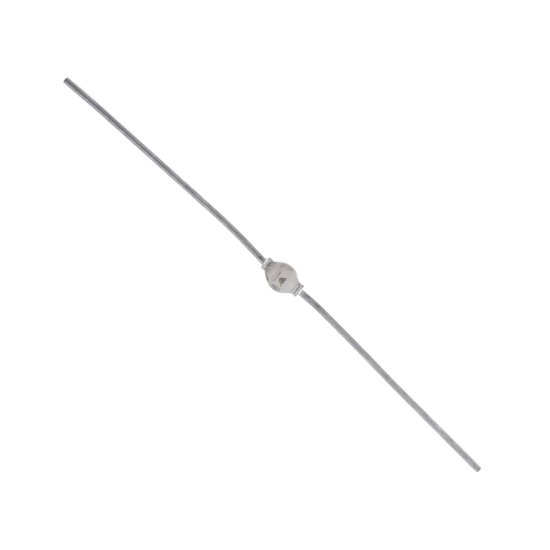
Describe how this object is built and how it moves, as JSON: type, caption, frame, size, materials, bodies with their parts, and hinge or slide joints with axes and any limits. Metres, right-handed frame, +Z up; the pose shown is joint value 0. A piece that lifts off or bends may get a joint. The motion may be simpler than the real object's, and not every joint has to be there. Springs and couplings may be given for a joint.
{
  "type": "axial rectifier diode",
  "caption": "Axial rectifier diode: an opaque sintered glass bead on brazed studs, with nail-headed tinned wire leads for through-hole boards.",
  "frame": {"origin": "the lowest point of the glass bead, where it touches the surface that the diode lies on, under the middle of the bead", "axes": "+X along the bead's axis from the cathode lead to the anode lead, +Z up from the surface that the diode lies on"},
  "size_m": [0.0667, 0.0047, 0.0036],
  "materials": {
    "sintered_glass": "satin",
    "silicon": "satin",
    "pellet_solder": "satin",
    "stud_metal": "satin",
    "braze": "matte",
    "tinned_wire": "satin"
  },
  "bodies": {
    "root": {"glass_bead": "sintered_glass", "silicon_pellet": "silicon", "cathode_pellet_solder": "pellet_solder", "anode_pellet_solder": "pellet_solder", "cathode_stud": "stud_metal", "anode_stud": "stud_metal", "cathode_lead_braze": "braze", "anode_lead_braze": "braze", "cathode_lead": "tinned_wire", "anode_lead": "tinned_wire"}
  },
  "joints": []
}
